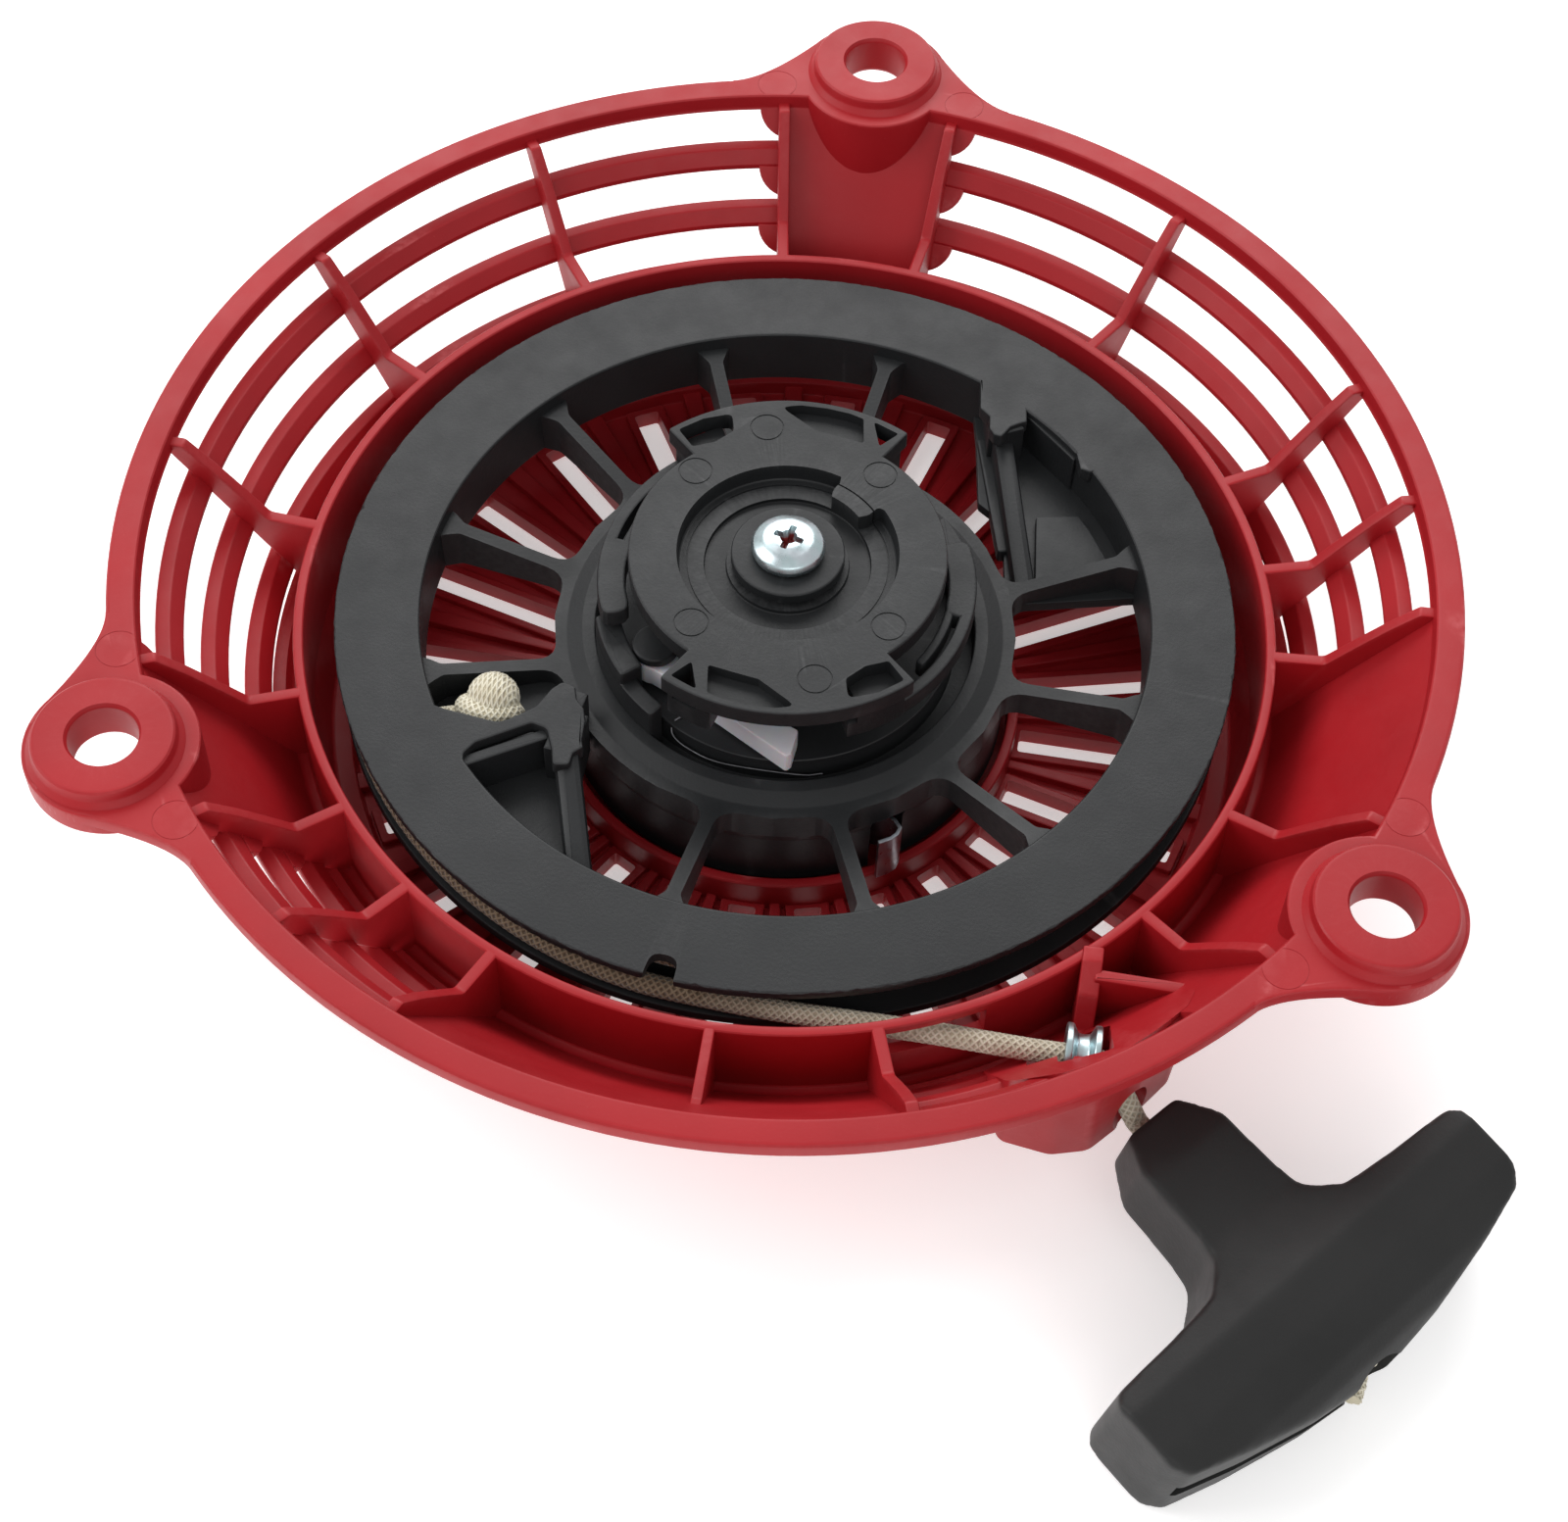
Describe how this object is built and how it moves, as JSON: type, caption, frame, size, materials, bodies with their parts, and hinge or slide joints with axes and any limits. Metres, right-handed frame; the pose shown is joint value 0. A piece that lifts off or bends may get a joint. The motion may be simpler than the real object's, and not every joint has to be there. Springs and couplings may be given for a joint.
{
  "type": "recoil starter",
  "caption": "Pull-rope starter with a louvred round housing, a sprung rope reel with pawls, a ratchet guide and a T handle.",
  "frame": {"origin": "on the reel axis, in the plane of the closed face that rests on a table", "axes": "+Z along the reel axis towards the engine, +Y towards the bolt ear opposite the rope outlet, +X by the right-hand rule"},
  "size_m": [0.202, 0.2258, 0.0444],
  "materials": {
    "red_plastic": "semi-gloss moulded red plastic, dusty",
    "black_plastic": "satin moulded black plastic with light wear",
    "grip_plastic": "fine-grained black grip plastic",
    "nylon": "milky white nylon",
    "zinc": "bright zinc plate",
    "spring_steel": "bare spring steel",
    "rope": "braided nylon rope, beige"
  },
  "bodies": {
    "case": {"housing_rim": "red_plastic", "housing_wall": "red_plastic", "housing_drum": "red_plastic", "housing_floor": "red_plastic", "housing_post": "red_plastic", "rope_guide": "zinc", "rope_run": "rope", "retainer_bush": "black_plastic", "centre_screw": "zinc"},
    "rotor": {"reel": "black_plastic", "rope_coil": "rope", "reel_knot": "rope", "recoil_spring": "spring_steel", "pawl_spring_1": "spring_steel", "pawl_spring_2": "spring_steel", "brake_spring": "spring_steel", "thrust_washer": "spring_steel"},
    "guide": {"ratchet_guide": "black_plastic"},
    "pawl_a": {"pawl_1": "nylon"},
    "pawl_b": {"pawl_2": "nylon"},
    "handle": {"handle_grip": "grip_plastic", "handle_rope": "rope"}
  },
  "joints": [
    {"name": "reel_turn", "type": "hinge", "parent": "case", "child": "rotor", "pos_m": [0, 0, 0.02], "axis": [0, 0, 1], "range_deg": [0, 1000]},
    {"name": "handle_pull", "type": "slide", "parent": "case", "child": "handle", "axis": [0.7572, -0.6532, 0], "range_m": [0, 1.06]},
    {"name": "ratchet_lag", "type": "hinge", "parent": "rotor", "child": "guide", "pos_m": [0, 0, 0.037], "axis": [0, 0, 1], "range_deg": [-25, 0]},
    {"name": "pawl_a_swing", "type": "hinge", "parent": "rotor", "child": "pawl_a", "pos_m": [-0.01699, -0.01146, 0.026], "axis": [0, 0, 1], "range_deg": [-20.5, 0.5]},
    {"name": "pawl_b_swing", "type": "hinge", "parent": "rotor", "child": "pawl_b", "pos_m": [0.01699, 0.01146, 0.026], "axis": [0, 0, 1], "range_deg": [-20.5, 0.5]}
  ],
  "couplings": [
    {"joint": "handle_pull", "follows": "reel_turn", "m_per_rad": 0.06},
    {"joint": "pawl_a_swing", "follows": "ratchet_lag", "ratio": 0.8},
    {"joint": "pawl_b_swing", "follows": "ratchet_lag", "ratio": 0.8}
  ]
}
